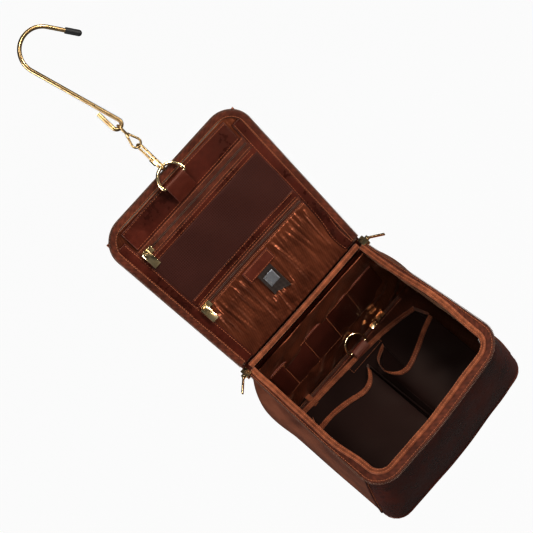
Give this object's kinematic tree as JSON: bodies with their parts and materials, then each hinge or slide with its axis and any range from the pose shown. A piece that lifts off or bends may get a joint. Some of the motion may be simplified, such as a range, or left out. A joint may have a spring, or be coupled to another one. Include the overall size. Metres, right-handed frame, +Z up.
{
  "type": "hanging toiletry bag",
  "caption": "Leather wash bag hanging open from a wire hook: zipped lid with pockets above a deep box with zip mouth, inner organizer and D-rings.",
  "frame": {"origin": "inside of the top of the wire hook, where it rests on a rail", "axes": "+Z up, -Y towards the user in front of the open bag, +X to the user's right"},
  "size_m": [0.244, 0.256, 0.6641],
  "materials": {
    "brass_wire": "drawn",
    "pale_gold": "polished",
    "rubber_black": "satin",
    "leather_dark": "glossy",
    "leather_red": "satin",
    "satin": "satin weave",
    "nylon": "plain weave",
    "mesh": "open mesh",
    "zip_tape": "twill",
    "binding": "ribbed",
    "zip_coil": "satin",
    "board": "plain",
    "label": "plain"
  },
  "bodies": {
    "hook": {"hook_wire": "brass_wire", "hook_tip_cap": "rubber_black"},
    "link": {"twist_link": "brass_wire"},
    "clip": {"clip_frame": "brass_wire", "clip_collar": "brass_wire"},
    "gate": {"clip_gate": "brass_wire"},
    "ring": {"lid_ring": "pale_gold"},
    "lid": {"ring_tab": "leather_red", "lid_shell": "leather_dark", "lid_board": "board", "lid_lining": "satin", "lid_top_panel": "leather_dark", "lid_left_strip": "leather_dark", "lid_right_strip": "leather_dark", "lid_zip_tape": "zip_tape", "lid_zip_coil": "zip_coil", "upper_zip_tape": "zip_tape", "upper_zip_coil": "zip_coil", "upper_welt": "leather_red", "mesh_pocket": "mesh", "lower_welt": "leather_red", "lower_zip_tape": "zip_tape", "lower_zip_coil": "zip_coil", "satin_pocket": "satin", "label_patch": "leather_red", "care_tag": "label", "hinge_binding": "binding"},
    "box": {"back_panel": "leather_dark", "bottom_panel": "leather_dark", "left_gusset": "leather_dark", "right_gusset": "leather_dark", "top_wall": "leather_dark", "lining_tub": "satin", "mouth_binding": "binding", "mouth_zip_tape": "zip_tape", "mouth_zip_coil": "zip_coil", "gusset_piping": "leather_dark", "loop_strip": "leather_red", "inner_zip_tape": "zip_tape", "inner_zip_coil": "zip_coil", "organizer_panel": "nylon", "left_pocket": "nylon", "right_pocket": "nylon", "pocket_divider": "nylon", "organizer_patch": "nylon", "organizer_strap": "binding", "inner_ring_tab": "leather_red", "blank_label": "label"},
    "upper_slider": {"upper_slider": "pale_gold"},
    "upper_pull": {"upper_pull": "pale_gold"},
    "lower_slider": {"lower_slider": "pale_gold"},
    "lower_pull": {"lower_pull": "pale_gold"},
    "inner_slider": {"inner_slider": "pale_gold"},
    "inner_pull": {"inner_pull": "leather_red"},
    "inner_ring": {"inner_ring": "pale_gold"},
    "slider_left": {"slider_left": "pale_gold"},
    "pull_left": {"pull_left": "pale_gold"},
    "slider_right": {"slider_right": "pale_gold"},
    "pull_right": {"pull_right": "pale_gold"}
  },
  "joints": [
    {"name": "link_swing", "type": "hinge", "parent": "hook", "child": "link", "pos_m": [-0.0033, 0, -0.1374], "axis": [1, 0, 0], "range_deg": [-20, 20]},
    {"name": "clip_swing", "type": "hinge", "parent": "link", "child": "clip", "pos_m": [-0.0033, 0, -0.1637], "axis": [-0.3584, 0.9336, 0], "range_deg": [-20, 20]},
    {"name": "gate_open", "type": "hinge", "parent": "clip", "child": "gate", "pos_m": [-0.00488, 0.00411, -0.1871], "axis": [0.9336, 0.3584, 0], "range_deg": [0, 20], "stiffness_Nm_per_rad": 0.02, "springref_deg": -5.73},
    {"name": "ring_swing", "type": "hinge", "parent": "clip", "child": "ring", "pos_m": [-0.0033, 0, -0.19945], "axis": [1, 0, 0], "range_deg": [-20, 20]},
    {"name": "lid_swing", "type": "hinge", "parent": "ring", "child": "lid", "pos_m": [-0.0033, 0, -0.21945], "axis": [1, 0, 0], "range_deg": [-25, 4]},
    {"name": "fold", "type": "hinge", "parent": "lid", "child": "box", "pos_m": [-0.0033, 0.0261, -0.43491], "axis": [1, 0, 0], "range_deg": [-117, 59]},
    {"name": "upper_zip", "type": "slide", "parent": "lid", "child": "upper_slider", "axis": [1, 0, 0], "range_m": [0, 0.15]},
    {"name": "upper_pull_swing", "type": "hinge", "parent": "upper_slider", "child": "upper_pull", "pos_m": [-0.0833, 0.0075, -0.25336], "axis": [0, -0.9948, -0.1019], "range_deg": [-80, 80]},
    {"name": "lower_zip", "type": "slide", "parent": "lid", "child": "lower_slider", "axis": [1, 0, 0], "range_m": [0, 0.15]},
    {"name": "lower_pull_swing", "type": "hinge", "parent": "lower_slider", "child": "lower_pull", "pos_m": [-0.0833, 0.01708, -0.34692], "axis": [0, -0.9948, -0.1019], "range_deg": [-80, 80]},
    {"name": "inner_zip", "type": "slide", "parent": "box", "child": "inner_slider", "axis": [1, 0, 0], "range_m": [-0.107, 0.037]},
    {"name": "inner_pull_swing", "type": "hinge", "parent": "inner_slider", "child": "inner_pull", "pos_m": [0.0467, 0.08242, -0.53507], "axis": [0, -0.8054, -0.5927], "range_deg": [0, 175]},
    {"name": "inner_ring_swing", "type": "hinge", "parent": "box", "child": "inner_ring", "pos_m": [0.0097, 0.07518, -0.53872], "axis": [1, 0, 0], "range_deg": [0, 115]},
    {"name": "zip_left", "type": "slide", "parent": "box", "child": "slider_left", "axis": [-0.0345, -0.8049, -0.5924], "range_m": [0, 0.17]},
    {"name": "pull_left_swing", "type": "hinge", "parent": "slider_left", "child": "pull_left", "pos_m": [-0.10943, 0.02529, -0.4355], "axis": [0, -0.5927, 0.8054], "range_deg": [-130, 0]},
    {"name": "zip_right", "type": "slide", "parent": "box", "child": "slider_right", "axis": [0.0345, -0.8049, -0.5924], "range_m": [0, 0.17]},
    {"name": "pull_right_swing", "type": "hinge", "parent": "slider_right", "child": "pull_right", "pos_m": [0.10283, 0.02529, -0.4355], "axis": [0, -0.5927, 0.8054], "range_deg": [0, 130]}
  ]
}
